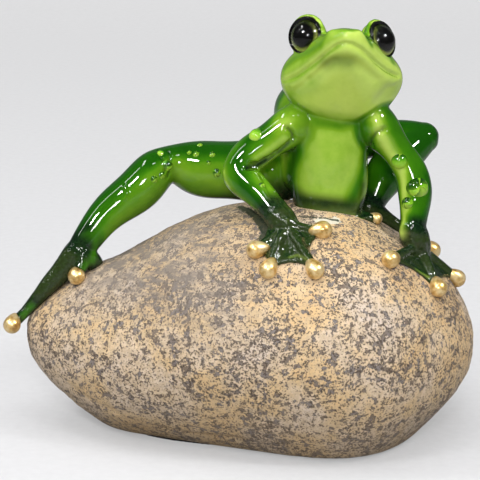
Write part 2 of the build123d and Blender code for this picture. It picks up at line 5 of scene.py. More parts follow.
import bmesh
import bpy
import numpy as np
from mathutils import Matrix, Vector, noise
from mathutils.bvhtree import BVHTree
from mathutils.kdtree import KDTree


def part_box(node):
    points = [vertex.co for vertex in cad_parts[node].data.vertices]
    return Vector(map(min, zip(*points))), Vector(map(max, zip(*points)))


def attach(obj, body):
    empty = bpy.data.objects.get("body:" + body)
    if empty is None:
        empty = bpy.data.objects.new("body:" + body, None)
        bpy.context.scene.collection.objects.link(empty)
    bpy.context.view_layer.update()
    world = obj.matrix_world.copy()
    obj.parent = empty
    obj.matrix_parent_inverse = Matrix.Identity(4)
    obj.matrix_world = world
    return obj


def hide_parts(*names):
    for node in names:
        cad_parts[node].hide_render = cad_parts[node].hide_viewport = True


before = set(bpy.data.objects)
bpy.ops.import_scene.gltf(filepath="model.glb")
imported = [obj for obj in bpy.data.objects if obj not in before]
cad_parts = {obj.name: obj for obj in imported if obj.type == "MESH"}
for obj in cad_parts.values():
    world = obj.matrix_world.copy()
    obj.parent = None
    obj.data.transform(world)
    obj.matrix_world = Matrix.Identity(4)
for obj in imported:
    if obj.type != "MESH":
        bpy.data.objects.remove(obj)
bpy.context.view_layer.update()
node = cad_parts
MM = 0.001
DOUBLES = 1e-6

# Camera: at the photograph's angle, looking 14 degrees down.
CAMERA_PLACE = Vector((0.0, -0.6016, 0.2120))
CAMERA_AIM = Vector((0.0, 0.0, 0.062))
SENSOR = 36.0
LENS = 146.0
PHOTO_SIDE = 480

bpy.ops.object.camera_add(location=CAMERA_PLACE)
camera = bpy.context.object
camera.name = "photo_camera"
camera.rotation_euler = (CAMERA_AIM - CAMERA_PLACE).to_track_quat("-Z", "Y").to_euler()
camera.data.lens = LENS
camera.data.sensor_width = SENSOR
bpy.context.scene.camera = camera


def alone(piece):
    """Selects one piece and makes it the one worked on."""
    if bpy.context.object and bpy.context.object.mode != "OBJECT":
        bpy.ops.object.mode_set(mode="OBJECT")
    bpy.ops.object.select_all(action="DESELECT")
    piece.select_set(True)
    bpy.context.view_layer.objects.active = piece


def worked(piece, operator, **settings):
    """Runs an edit mode operator on all of one piece."""
    alone(piece)
    bpy.ops.object.mode_set(mode="EDIT")
    bpy.ops.mesh.select_all(action="SELECT")
    operator(**settings)
    bpy.ops.object.mode_set(mode="OBJECT")


def apply_modifier(piece, kind, **settings):
    """Adds a modifier with its settings and applies it."""
    alone(piece)
    modifier = piece.modifiers.new(kind.lower(), kind)
    for name, value in settings.items():
        setattr(modifier, name, value)
    bpy.ops.object.modifier_apply(modifier=modifier.name)


def cast_of(source, name):
    """Takes a copy of a casting's solid, with its loose triangles merged."""
    copy = source.copy()
    copy.data = source.data.copy()
    bpy.context.scene.collection.objects.link(copy)
    copy.parent = None
    for key in list(copy.keys()):
        del copy[key]
    copy.name = name
    copy.data.name = name
    copy.data.materials.clear()
    worked(copy, bpy.ops.mesh.remove_doubles, threshold=DOUBLES)
    return copy


def joined(pieces, name):
    """Joins pieces into the first of them."""
    alone(pieces[0])
    for piece in pieces:
        piece.select_set(True)
    bpy.ops.object.join()
    pieces[0].name = name
    pieces[0].data.name = name
    return pieces[0]


def points_of(mesh):
    """Reads a mesh's points as rows of x, y, z."""
    flat = np.empty(len(mesh.vertices) * 3)
    mesh.vertices.foreach_get("co", flat)
    return flat.reshape(-1, 3)


def normals_of(mesh):
    """Reads the direction that the surface faces at each point."""
    flat = np.empty(len(mesh.vertices) * 3)
    mesh.vertices.foreach_get("normal", flat)
    return flat.reshape(-1, 3)


def set_points(mesh, points):
    """Writes a mesh's points back."""
    mesh.vertices.foreach_set("co", points.ravel())
    mesh.update()


def seen_ray(u, v):
    """Gives the direction from the camera through a place in the photograph's frame."""
    turn = camera.rotation_euler.to_matrix()
    across = SENSOR / LENS / PHOTO_SIDE
    return (turn @ Vector(((u - PHOTO_SIDE / 2) * across, (PHOTO_SIDE / 2 - v) * across, -1))).normalized()


def seen_on(tree, u, v):
    """Finds where the camera's line through a place of the frame first meets a surface."""
    return tree.ray_cast(CAMERA_PLACE, seen_ray(u, v))[0]


def line_on(tree, places):
    """Lays a line of places of the frame on a surface, leaving out those that miss it."""
    found = [seen_on(tree, u, v) for u, v in places]
    return [place for place in found if place is not None]


def reach_of_line(points, line):
    """Measures how far each point is from a line of places."""
    best = np.full(len(points), 1e9)
    line = [np.array(place) for place in line]
    for start, end in zip(line, line[1:]):
        along = end - start
        share = np.clip(((points - start) @ along) / max(along @ along, 1e-18), 0, 1)
        best = np.minimum(best, np.linalg.norm(points - start - share[:, None] * along, axis=1))
    if len(line) == 1:
        best = np.linalg.norm(points - line[0], axis=1)
    return best


def brushed(points, tree, places, width):
    """Gives how near each point is to a line of places of the frame, within a soft width in millimetres."""
    return np.exp(-(reach_of_line(points, line_on(tree, places)) / MM / width) ** 2)


def tree_of(piece):
    """Makes a search tree of a piece's surface."""
    mesh = piece.data
    return BVHTree.FromPolygons([v.co for v in mesh.vertices], [tuple(p.vertices) for p in mesh.polygons])


def mould(piece, strokes):
    """Works a surface with a modelling tool: each stroke raises or sinks it along a line, in millimetres.
    A stroke pushes square to the surface unless it names another way."""
    tree = tree_of(piece)
    mesh = piece.data
    points = points_of(mesh)
    normals = normals_of(mesh)
    for places, width, lift, *way in strokes:
        push = np.array(way[0]) if way else normals
        points += push * (lift * MM * brushed(points, tree, places, width))[:, None]
    set_points(mesh, points)


# Skin: the castings are pegged, filled at their joints and lacquered together, and part again at the joints.
SKIN_NODES = ["head", "trunk", "right_arm", "left_arm", "right_leg", "left_leg",
    "right_hand", "left_hand", "right_foot", "left_foot"]
DARK_NODES = ["right_hand", "left_hand", "right_foot", "left_foot"]
GRAIN = 0.42 * MM
skin = joined([cast_of(node[name], "skin_" + name) for name in SKIN_NODES], "skin")
apply_modifier(skin, "REMESH", mode="VOXEL", voxel_size=GRAIN)
worked(skin, bpy.ops.mesh.separate, type="LOOSE")
parts = sorted(bpy.context.selected_objects, key=lambda part: len(part.data.vertices))
skin = parts.pop()
for part in parts:
    bpy.data.objects.remove(part)
apply_modifier(skin, "SMOOTH", factor=0.5, iterations=8)
skin.name = "skin"

# The face: the brow's corners, the mouth's line with its lips, the hollow under them, the jowls and their
# creases. Each stroke has its places in the photograph, its half width and its lift in millimetres.
MOUTH = [(284, 80.5), (289, 79), (295, 76.5), (301, 72.8), (307.5, 68), (314, 63.5), (320, 59), (328, 52),
    (336, 45.8), (344, 43), (353, 44.2), (361.5, 49), (370, 56.5), (378, 64), (386.5, 70.5), (393.5, 74.2),
    (399, 77.5)]
UPPER_LIP = [(287, 73), (296, 69), (304, 64), (312, 57.5), (320, 50.5), (328, 43.5), (336, 39.2), (344, 37.8),
    (352, 38.8), (361, 43), (370, 50), (379, 57.5), (388, 64.5), (396, 70)]
LOWER_LIP = [(292, 85), (300, 80.5), (308, 74.5), (316, 67.5), (324, 60), (332, 53.5), (340, 50), (348, 50),
    (356, 53), (364, 59), (372, 66.5), (380, 73.5), (388, 79.5), (396, 83.5)]
UNDER_LIP = [(309, 80), (318, 72), (326, 65.5), (334, 61), (342, 59), (350, 60.5), (358, 64.5), (366, 71),
    (375, 79)]
STROKES = [
    ([(329, 35)], 2.3, 1.0, (0, 0, 1)),
    ([(361, 35)], 2.3, 1.1, (0, 0, 1)),
    (UPPER_LIP, 1.5, 0.30),
    (LOWER_LIP, 1.4, 0.40),
    (UNDER_LIP, 1.7, -0.40),
    ([(333, 62), (341, 62.5), (349, 62)], 1.9, -0.55),
    ([(309, 80), (304, 84), (298, 88), (291, 91)], 1.6, -0.22),
    ([(380, 85), (387, 90), (394, 91.5)], 1.6, -0.18),
    ([(284, 79)], 2.6, 0.5),
    ([(400, 79)], 2.6, 0.4),
    (MOUTH, 0.60, -0.95),
    ([(390, 100)], 6.0, 2.6, (-0.80, 0, 0.60)),
    # The belly's foot swells over the pebble.
    ([(300, 200), (318, 204), (340, 205), (358, 201)], 4.6, 4.8, (0, -0.50, -0.87)),
    # The armpits, the elbow's fold, the fold over the left hip and the knee's creases.
    ([(287, 128), (292, 133), (293.5, 139)], 0.75, -1.3),
    ([(290, 142), (283, 148), (276, 154)], 0.8, -0.8),
    ([(276, 154), (268, 160), (258, 166), (248, 168)], 0.9, -1.2),
    ([(252, 165), (258, 165), (266, 160)], 1.1, -0.8),
    ([(384, 129), (377, 132.5), (373, 138), (371, 146)], 0.9, -1.1),
    ([(268, 173), (274, 182), (279, 192), (284, 203)], 1.0, 0.55),
    ([(262, 176), (267, 186), (272, 197)], 0.9, -0.5),
    ([(168, 151), (170, 160), (169, 172), (167, 177)], 0.5, -0.5),
    ([(157, 150), (161, 158), (166, 163), (164, 172)], 0.5, -0.35),
    ([(125, 186), (127, 193), (125, 199)], 0.5, 0.4),
    # The hands' knuckles, from the wrist to each toe, and the hollows in the webs.
    ([(284, 222), (279, 236), (272, 248), (268, 256)], 0.9, 0.45),
    ([(287, 222), (292, 236), (300, 248), (308, 258)], 0.9, 0.55),
    ([(287, 219), (298, 226), (312, 230)], 0.9, 0.4),
    ([(281, 220), (270, 232), (262, 244)], 0.8, 0.35),
    ([(285, 243), (287, 252)], 1.2, -0.35),
    ([(301, 238), (306, 243)], 1.2, -0.3),
    ([(418, 242), (412, 249), (403, 256)], 0.9, 0.4),
    ([(424, 243), (429, 258), (434, 272)], 0.9, 0.5),
    ([(428, 240), (438, 256), (450, 272)], 0.9, 0.4),
    ([(414, 263), (420, 268)], 1.4, -0.35),
]
mould(skin, STROKES)
apply_modifier(skin, "SMOOTH", factor=0.4, iterations=1)


def eased(value, low, high):
    """Rises smoothly from 0 at low to 1 at high."""
    share = np.clip((value - low) / (high - low), 0, 1)
    return share * share * (3 - 2 * share)


# Airbrushing and painted shade: every point keeps a tone, from dark green at 0 to yellow green at 1, and its
# share of black.
skin_points = points_of(skin.data)
skin_normals = normals_of(skin.data)
skin_tree = tree_of(skin)


def apart_from(tree, reach):
    """Measures how far each point of the skin is from a surface, up to a reach, in millimetres."""
    found = [tree.find_nearest(place, reach * MM)[3] for place in map(Vector, skin_points)]
    return np.array([reach if apart is None else apart / MM for apart in found])


def facing(way, spread):
    """Gives how much each point of the skin faces a way, from none to all over a spread of its cosine."""
    return eased(skin_normals @ np.array(Vector(way).normalized()), *spread)


def near(centre, reach):
    """Gives how near each point of the skin is to a centre, in millimetres."""
    apart = np.linalg.norm(skin_points / MM - np.array(centre), axis=1)
    return 1 - eased(apart, 0.5 * reach, 1.3 * reach)


def along(places, width):
    """Gives how near each point of the skin is to a line of places in the photograph."""
    return brushed(skin_points, skin_tree, places, width)


corners, sides, owners = [], [], []
for owner, name in enumerate(SKIN_NODES):
    mesh = node[name].data
    start = len(corners)
    corners.extend(v.co for v in mesh.vertices)
    sides.extend(tuple(start + i for i in p.vertices) for p in mesh.polygons)
    owners.extend([owner] * len(mesh.polygons))
castings = BVHTree.FromPolygons(corners, sides)
FARTHEST = 12.0
from_casting = {name: apart_from(tree_of(node[name]), FARTHEST) for name in SKIN_NODES}
from_stone = apart_from(tree_of(node["stone_shell"]), FARTHEST)


def on(name, blur=3.0):
    """Gives how much each point of the skin belongs to a casting, fading out over a blur in millimetres."""
    return 1 - eased(from_casting[name], 0.6, 0.6 + blur)


def towards(values, target, mask):
    """Moves values towards a target where a mask is."""
    return values + (target - values) * np.clip(mask, 0, 1)


# Airbrush strokes, some of them painted shade in creases: the tone that each brings, and how much of it each
# point takes.
airbrush_and_shade = [
    (0.83, on("trunk", 6)),
    (0.24, facing((0, 0.8, 0.6), (-0.15, 0.55)) * (1 - 0.4 * on("head"))),
    (0.55, on("head") * facing((0, 0.3, 1), (0.55, 0.95)) * near((14, -24, 122), 20)),
    (0.78, on("head") * facing((-0.75, -0.2, 0.6), (0.2, 0.9)) * 0.85),
    (0.50, on("head") * along([(285, 67), (291, 61), (299, 56), (310, 51), (319, 45)], 1.5) * 0.6),
    (0.45, on("head") * along([(401, 66), (397, 62), (392, 60)], 1.6) * 0.6),
    (0.40, on("head") * along([(368, 26), (366, 32), (367, 38), (371, 44)], 1.3) * 0.7),
    (0.50, on("head") * along([(324, 27), (325, 36), (321, 44)], 1.3) * 0.5),
    (0.60, on("head") * along([(290, 96), (300, 110), (314, 119), (334, 124)], 1.6) * 0.55),
    # The right arm is dark along its outer side and light on the shoulder and on its edges.
    (0.62, on("right_arm") * 0.85),
    (0.20, on("right_arm") * along([(266, 124), (247, 142), (236, 162), (243, 184), (256, 200)], 3.2)),
    (0.42, on("right_arm") * along([(256, 150), (262, 138), (272, 128)], 2.0) * 0.6),
    (0.86, on("right_arm") * along([(288, 122), (280, 124)], 3.0) * 0.9),
    (0.84, on("right_arm") * along([(284, 139), (272, 147), (256, 157)], 1.5) * 0.9),
    (0.85, on("right_arm") * along([(224, 172), (229, 187), (243, 204), (262, 224)], 1.0)),
    (0.80, on("right_arm", 2) * along([(264, 172), (272, 182), (279, 194), (284, 206)], 0.9)),
    # The left arm is light along its inner half and dark on its outer half.
    (0.34, on("left_arm") * 0.95),
    (0.20, on("left_arm") * along([(427, 176), (431, 192), (429, 208), (424, 218)], 2.2) * 0.9),
    (0.95, on("left_arm") * along([(376, 118), (381, 136), (390, 152), (397, 164)], 3.0)),
    (0.95, on("left_arm") * along([(402, 172), (404, 192), (405, 208)], 2.2)),
    (0.90, on("left_arm", 6) * along([(404, 206), (404, 220), (401, 232), (397, 244)], 1.4)),
    # The legs are dark along the top, lighter below, darkest at the knees and ankles.
    (0.56, on("right_leg") * 0.9),
    (0.18, on("right_leg") * facing((-0.25, 0.2, 1), (0.15, 0.7))),
    (0.74, on("right_leg") * along([(226, 186), (204, 178), (180, 172)], 2.4) * 0.85),
    (0.66, on("right_leg") * along([(150, 196), (130, 212), (110, 230), (96, 250)], 1.6) * 0.7),
    (0.26, on("right_leg") * along([(148, 160), (128, 180), (108, 204), (90, 228)], 2.6) * 0.8),
    (0.16, on("right_leg") * along([(166, 150), (158, 156), (150, 162)], 1.8) * 0.8),
    (0.30, on("left_leg") * 0.95),
    (0.14, on("left_leg") * facing((0.7, -0.1, 0.7), (0.1, 0.8))),
    (0.45, on("left_leg") * along([(384, 182), (378, 192)], 1.6) * 0.9),
    # The belly's flanks are darker, and the creases get painted shade: the neck's, the hollow under the lips
    # and the jowls'.
    (0.24, on("trunk") * along([(296, 152), (292, 166), (291, 182), (293, 200)], 3.0) * 0.95),
    (0.26, on("trunk") * along([(279, 97), (276, 104), (273, 112)], 4.0)),
    (0.40, on("trunk") * along([(370, 146), (364, 168), (357, 188), (350, 204)], 2.2) * 0.85),
    (0.52, along([(318, 123), (340, 126), (362, 122)], 1.5) * on("trunk") * 0.8),
    (0.80, along([(328, 62), (337, 61), (348, 62)], 2.4) * 0.8),
    (0.74, on("head") * along([(291, 94), (302, 91), (312, 85)], 3.4) * 0.4),
    (0.78, on("head") * along([(396, 90), (386, 88)], 3.4) * 0.35),
    # The stretched foot keeps green edges.
    (0.40, along([(96, 238), (96, 248), (92, 260), (84, 268)], 3.0)),
    (0.36, along([(76, 279), (62, 292), (46, 304), (32, 306), (24, 316)], 2.5)),
]
tone = np.ones(len(skin_points))
for target, mask in airbrush_and_shade:
    tone = towards(tone, target, mask)

# Black: the black paint of the dark castings, thrown a little up the limbs; painted shade, black in the
# folds; and black where the skin lies near the pebble.
BELLY_MIDDLE = 27.0
soot = np.zeros(len(skin_points))
for name, blur in (("right_hand", 3.6), ("left_hand", 2.6), ("right_foot", 5.0), ("left_foot", 4.0)):
    soot = np.maximum(soot, 1 - eased(from_casting[name], 0.2, blur))
# Light edges at the wrists, the ankle and the toes stay clear of it.
light_edges = np.maximum.reduce([
    along([(404, 206), (404, 220), (401, 232), (397, 243)], 1.9),
    along([(229, 187), (243, 204), (256, 218), (264, 228)], 0.9),
    along([(96, 238), (96, 248), (92, 260), (84, 268)], 1.4) * 0.9,
    along([(76, 279), (62, 292), (46, 304)], 0.9) * 0.75,
    along([(24, 316), (32, 306)], 1.2) * 0.9,
    along([(290, 257), (298, 255), (306, 259)], 0.6) * 0.25,
    along([(402, 266), (416, 268), (428, 277)], 0.6) * 0.4,
])
soot = soot * (1 - light_edges)
flanks = np.clip(along([(292, 175), (286, 205)], 6) + along([(362, 185), (350, 208)], 5), 0, 1)
belly_side = eased(np.abs(skin_points[:, 0] / MM - BELLY_MIDDLE), 5.0, 12.0)
soot = np.maximum.reduce([
    soot,
    on("trunk") * (1 - eased(from_stone, 0.6, 3.0 + 5.0 * flanks)) * (0.6 + 0.4 * flanks),
    on("trunk", 9) * (1 - eased(from_stone, 2.6, 6.6 + 3.5 * belly_side)),
    along([(288, 188), (291, 199), (297, 206)], 3.2) * 0.85,
    along([(363, 186), (360, 197), (352, 208)], 2.0) * 0.7,
    along([(352, 210), (358, 212), (364, 213)], 2.0) * 0.9,
    np.maximum(on("right_leg"), on("left_leg")) * (1 - eased(from_stone, 0.5, 5.0)) * 0.85,
    on("right_leg") * along([(72, 240), (80, 232), (88, 226)], 2.4) * 0.9,
    on("left_leg") * along([(396, 158), (390, 172), (384, 200)], 2.0) * 0.55,
    # Painted shade: black in the elbow's fold, the armpits and the knee's creases.
    along([(246, 168), (256, 166), (266, 160)], 0.85),
    along([(268, 160), (280, 151), (289, 142)], 0.6) * 0.7,
    along([(288, 128), (292.5, 134), (293, 141)], 0.5) * 0.6,
    along([(383, 130), (376, 133), (372, 139), (370, 147)], 0.55) * 0.55,
    along([(168, 151), (170, 160), (169, 172), (167, 177)], 0.28) * 0.8,
    along([(157, 150), (161, 158), (166, 163), (164, 172)], 0.25) * 0.7,
])
# Brown painted shade: on the limbs' undersides, and in the hollow under the lips.
rust = facing((0, 0.1, -1), (0.55, 0.95)) * np.clip(on("right_leg") + on("right_arm") + on("left_arm"), 0, 1)
rust = np.maximum(rust, along([(325, 63), (336, 60), (350, 62)], 2.3) * 0.8)


def keep_values(mesh, name, values, kind="FLOAT", field="value"):
    """Stores a value for each point of a mesh."""
    layer = mesh.attributes.new(name, kind, "POINT")
    layer.data.foreach_set(field, np.asarray(values, float).ravel())


keep_values(skin.data, "tone", tone)
keep_values(skin.data, "soot", soot)
keep_values(skin.data, "rust", rust)
keep_values(skin.data, "lie", normals_of(skin.data), "FLOAT_VECTOR", "vector")

# The skin parts at the castings' joints, which follow the nearest casting, and each piece is closed there.
VOTE_ROUNDS = 6
owner_of = np.array([owners[castings.find_nearest(p.center)[2]] for p in skin.data.polygons])
edges_of_faces = {}
for face in skin.data.polygons:
    for key in face.edge_keys:
        edges_of_faces.setdefault(key, []).append(face.index)
pairs = np.array([faces for faces in edges_of_faces.values() if len(faces) == 2])
for _ in range(VOTE_ROUNDS):
    votes = np.zeros((len(owner_of), len(SKIN_NODES)))
    np.add.at(votes, (pairs[:, 0], owner_of[pairs[:, 1]]), 1)
    np.add.at(votes, (pairs[:, 1], owner_of[pairs[:, 0]]), 1)
    votes[np.arange(len(owner_of)), owner_of] += 0.5
    owner_of = votes.argmax(1)
for name in SKIN_NODES:
    skin.data.materials.append(bpy.data.materials.new("part_" + name))
skin.data.polygons.foreach_set("material_index", owner_of)
worked(skin, bpy.ops.mesh.separate, type="MATERIAL")
skin_pieces = {}
for piece in bpy.context.selected_objects:
    name = piece.data.materials[piece.data.polygons[0].material_index].name[len("part_"):]
    form = bmesh.new()
    form.from_mesh(piece.data)
    caps = bmesh.ops.holes_fill(form, edges=[e for e in form.edges if e.is_boundary], sides=0)["faces"]
    bmesh.ops.poke(form, faces=caps)
    form.to_mesh(piece.data)
    form.free()
    piece.data.materials.clear()
    piece.name = piece.data.name = name + "_skin"
    lie = np.empty(len(piece.data.vertices) * 3)
    piece.data.attributes["lie"].data.foreach_get("vector", lie)
    piece.data.attributes.remove(piece.data.attributes["lie"])
    piece.data.shade_smooth()
    piece.data.normals_split_custom_set_from_vertices([Vector(v).normalized() for v in lie.reshape(-1, 3)])
    skin_pieces[name] = piece
for name in SKIN_NODES:
    bpy.data.materials.remove(bpy.data.materials["part_" + name])


def kept(piece, slot, *names):
    """Lets a piece ride with the object, in place of castings. Its slot is not used."""
    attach(piece, "root")
    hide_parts(*names)


def new_piece(name, form):
    """Makes a smooth piece from a drawn form."""
    bmesh.ops.recalc_face_normals(form, faces=form.faces)
    mesh = bpy.data.meshes.new(name)
    form.to_mesh(mesh)
    form.free()
    piece = bpy.data.objects.new(name, mesh)
    bpy.context.scene.collection.objects.link(piece)
    mesh.shade_smooth()
    return piece


FIT_ROUNDS = 4
FIT_MISS = 0.04


def beads_of(name):
    """Finds the middle and radius of each ball of a casting's set, by the best sphere through its points."""
    form = bmesh.new()
    form.from_mesh(node[name].data)
    bmesh.ops.remove_doubles(form, verts=form.verts, dist=DOUBLES)
    form.verts.ensure_lookup_table()
    seen, found = set(), []
    for first in form.verts:
        if first.index in seen:
            continue
        group, front = [], [first]
        seen.add(first.index)
        while front:
            vert = front.pop()
            group.append(tuple(vert.co))
            for edge in vert.link_edges:
                other = edge.other_vert(vert)
                if other.index not in seen:
                    seen.add(other.index)
                    front.append(other)
        places = np.array(group)
        chosen = places
        for _ in range(FIT_ROUNDS):
            rows = np.hstack([2 * chosen, np.ones((len(chosen), 1))])
            answer = np.linalg.lstsq(rows, (chosen ** 2).sum(1), rcond=None)[0]
            middle = answer[:3]
            radius = (answer[3] + middle @ middle) ** 0.5
            miss = np.abs(np.linalg.norm(places - middle, axis=1) - radius)
            chosen = places[miss < FIT_MISS * radius]
        found.append((Vector(middle), radius))
    form.free()
    return found


stone_middle = sum(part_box("stone_shell"), Vector((0, 0, 0))) / 2
stone_tree = tree_of(node["stone_shell"])


BEAD_TAPER = 0.22


def bead(form, middle, radius, pull):
    """Turns a toe bead whose back is drawn out along its toe, and tapers."""
    made = bmesh.ops.create_uvsphere(form, u_segments=40, v_segments=24, radius=radius)["verts"]
    turn = pull.normalized().to_track_quat("Z", "Y").to_matrix()
    for vert in made:
        back = max(vert.co.z / radius, 0)
        slim = 1 - BEAD_TAPER * back ** 2.0
        vert.co = Vector((vert.co.x * slim, vert.co.y * slim, vert.co.z + pull.length * back ** 1.6))
        vert.co = middle + turn @ vert.co


# Toe beads: gilt drops, each drawn out along its toe by a share of its radius.
BEAD_SIZE = 0.97
BEAD_PULL = 0.6
TOE_REACH = 4 * MM
bead_pieces = []
for limb in DARK_NODES:
    name = limb + "_pads"
    limb_points = points_of(skin_pieces[limb].data)
    form = bmesh.new()
    for middle, radius in beads_of(name):
        apart = np.linalg.norm(limb_points - np.array(middle), axis=1)
        toe = Vector(limb_points[apart < radius + TOE_REACH].mean(0)) - middle
        flat = toe - toe.project(middle - Vector(stone_tree.find_nearest(middle)[0]))
        bead(form, middle, radius * BEAD_SIZE, (0.35 * toe + 0.65 * flat).normalized() * BEAD_PULL * radius)
    piece = new_piece(name + "_gilt", form)
    kept(piece, "gilt", name)
    bead_pieces.append(piece)

# Dew: clear drops with flattened domes, set in the lacquer.
DROP_SETS = ["right_arm_drops", "left_arm_drops", "right_leg_drops"]
drop_pieces = []
for name in DROP_SETS:
    form = bmesh.new()
    heights, rises = [], []
    for middle, radius in beads_of(name):
        made = bmesh.ops.create_uvsphere(form, u_segments=56, v_segments=40, radius=radius)["verts"]
        place, outward = skin_tree.find_nearest(middle)[:2]
        turn = outward.to_track_quat("Z", "Y").to_matrix()
        across = Vector((0, 0, 1)).cross(outward).normalized()
        uphill = outward.cross(across)
        for vert in made:
            local = turn @ vert.co
            heights.append(local.dot(uphill) / radius)
            vert.co = middle + local
            skin_place, skin_way = skin_tree.find_nearest(vert.co)[:2]
            rises.append((vert.co - skin_place).dot(skin_way) / MM)
    piece = new_piece(name + "_dew", form)
    keep_values(piece.data, "uphill", heights)
    keep_values(piece.data, "rise", rises)
    kept(piece, "dew", name)
    drop_pieces.append(piece)


# Eyes: a black cup with a rounded rim, a painted disc and a domed glass, turned about the eye's axis.
def eye_axis(name):
    """Finds the middle of a painted disc and the way that it looks."""
    places = points_of(node[name].data)
    middle = places.mean(0)
    away = np.linalg.svd(places - middle, full_matrices=False)[2][2]
    away = away if away[1] < 0 else -away
    return Vector(middle + away * ((places - middle) @ away).min()), Vector(away)


TURN_STEPS = 96


def turned(name, rows, middle, axis):
    """Turns a closed form from rows of radius and height in millimetres along an axis."""
    form = bmesh.new()
    turn = axis.to_track_quat("Z", "Y").to_matrix()
    rings = []
    for radius, height in rows:
        if radius == 0:
            rings.append([form.verts.new(middle + turn @ Vector((0, 0, height)) * MM)])
        else:
            rings.append([form.verts.new(middle + turn @ Vector((radius * cos(2 * pi * step / TURN_STEPS),
                radius * sin(2 * pi * step / TURN_STEPS), height)) * MM) for step in range(TURN_STEPS)])
    for lower, upper in zip(rings, rings[1:]):
        for step in range(TURN_STEPS):
            after = (step + 1) % TURN_STEPS
            ring = [lower[step % len(lower)], lower[after % len(lower)], upper[after % len(upper)],
                upper[step % len(upper)]]
            form.faces.new(list(dict.fromkeys(ring)))
    return new_piece(name, form)


GLASS_RADIUS = 4.92
GLASS_RISE = 3.3
GLASS_RIM = 0.5
DISC_STEPS = (0.15, 0.3, 0.45, 0.6, 0.7, 0.76, 0.8, 0.84, 0.88, 0.92, 0.96, 0.99)
DOME_STEPS = 24
eye_pieces = {"cup": [], "iris": [], "glass": []}
for side in ("right", "left"):
    seat, axis = eye_axis(side + "_eye_iris")
    cup_points = points_of(node[side + "_eye_cup"].data)
    cup_middle = Vector(cup_points.mean(0))
    cup_middle = seat + (cup_middle - seat) - (cup_middle - seat).project(axis)
    depths = (cup_points - np.array(seat)) @ np.array(axis) / MM
    reach = np.linalg.norm(cup_points - np.array(seat) - np.outer(depths * MM, np.array(axis))
        - np.array(cup_middle - seat), axis=1).max() / MM
    front, back = depths.max(), depths.min()
    rim = [(0, back), (reach - 0.2, back), (reach - 0.02, back + 0.2), (reach - 0.02, front - 0.55),
        (reach - 0.1, front - 0.25), (reach - 0.3, front - 0.05), (reach - 0.5, front - 0.01)]
    floor_rows = [(GLASS_RADIUS - 0.05, 0.02), (GLASS_RADIUS - 0.4, 0.0), (0, 0.0)]
    cup = turned(side + "_eye_cup_black", [*rim, *floor_rows], cup_middle, axis)
    # The seat is off the cup's middle, so the rows inside the rim are moved over it.
    for vert in cup.data.vertices:
        local = vert.co - cup_middle
        height = local.dot(axis)
        if abs((local - axis * height).length / MM) < GLASS_RADIUS and height > (back + 0.3) * MM:
            vert.co += seat - cup_middle
    kept(cup, "eye_cup", side + "_eye_cup")
    eye_pieces["cup"].append(cup)
    dish = [(GLASS_RADIUS * share, 0.20 + 0.30 * share ** 2) for share in DISC_STEPS]
    rings = [(0, 0.20), *dish, (GLASS_RADIUS * 0.99, 0.05), (0, 0.05)]
    iris = turned(side + "_eye_iris_painted", rings, seat, axis)
    across = Vector((0, 0, 1)).cross(axis).normalized()
    uphill = axis.cross(across)
    flat = points_of(iris.data) - np.array(seat)
    keep_values(iris.data, "ring", np.linalg.norm(flat - np.outer(flat @ np.array(axis), np.array(axis)),
        axis=1) / (GLASS_RADIUS * MM))
    keep_values(iris.data, "uphill", flat @ np.array(uphill) / (GLASS_RADIUS * MM))
    nose_way = 1 if side == "right" else -1
    keep_values(iris.data, "inward", flat @ np.array(across) / (GLASS_RADIUS * MM) * nose_way)
    kept(iris, "iris", side + "_eye_iris")
    eye_pieces["iris"].append(iris)
    ball = (GLASS_RADIUS ** 2 + GLASS_RISE ** 2) / (2 * GLASS_RISE)
    widest = np.arcsin(GLASS_RADIUS / ball)
    dome = [(0, GLASS_RIM + GLASS_RISE)]
    for step in range(1, DOME_STEPS + 1):
        turn = widest * step / DOME_STEPS
        dome.append((ball * sin(turn), GLASS_RIM + GLASS_RISE - ball + ball * cos(turn)))
    rows = [*dome, (GLASS_RADIUS, 0.3), (GLASS_RADIUS - 0.1, 0.02), (0, 0.02)]
    glass = turned(side + "_eye_glass_dome", rows, seat, axis)
    kept(glass, "eye_glass", side + "_eye_glass")
    eye_pieces["glass"].append(glass)

# Pebble: a ball wrapped on the casting, worn into dents and ledges, hollow, with a flat foot, the felt's bed
# and the bung's hole. Its foot is a hair above the casting's, so that the two never lie in one plane.
BALL_STRETCH = Vector((1.16, 1.3, 1.4))
BALL_TURN = 17
BALL_TIP = 11
WALL = 7.0 * MM
FOOT_HAIR = 0.02 * MM
CUT_DOUBLES = 0.01 * MM
CREASE = 40
low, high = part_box("stone_shell")
stone_half = BALL_STRETCH * (high - low) / 2
foot_height = low.z + FOOT_HAIR
closed_nodes = ("stone_shell", "stone_bung", "base_felt")
closed_casting = joined([cast_of(node[name], name + "_closed") for name in closed_nodes], "closed_casting")


def wrapped(name, fineness):
    """Wraps a ball on the pebble's closed casting: thrown on it, relaxed, and laid on it again."""
    bpy.ops.object.select_all(action="DESELECT")
    bpy.ops.mesh.primitive_ico_sphere_add(subdivisions=fineness, radius=1.0)
    piece = bpy.context.object
    piece.name = piece.data.name = name
    turn = Matrix.Rotation(radians(BALL_TURN), 4, "Z") @ Matrix.Rotation(radians(BALL_TIP), 4, "X")
    piece.data.transform(Matrix.Translation(stone_middle) @ Matrix.Diagonal((*stone_half, 1)) @ turn)
    apply_modifier(piece, "SHRINKWRAP", target=closed_casting, wrap_method="PROJECT",
        use_negative_direction=True, use_positive_direction=False)
    apply_modifier(piece, "SMOOTH", factor=0.5, iterations=40 if fineness > 6 else 3)
    apply_modifier(piece, "SHRINKWRAP", target=closed_casting, wrap_method="NEAREST_SURFACEPOINT")
    apply_modifier(piece, "SMOOTH", factor=0.5, iterations=2)
    return piece


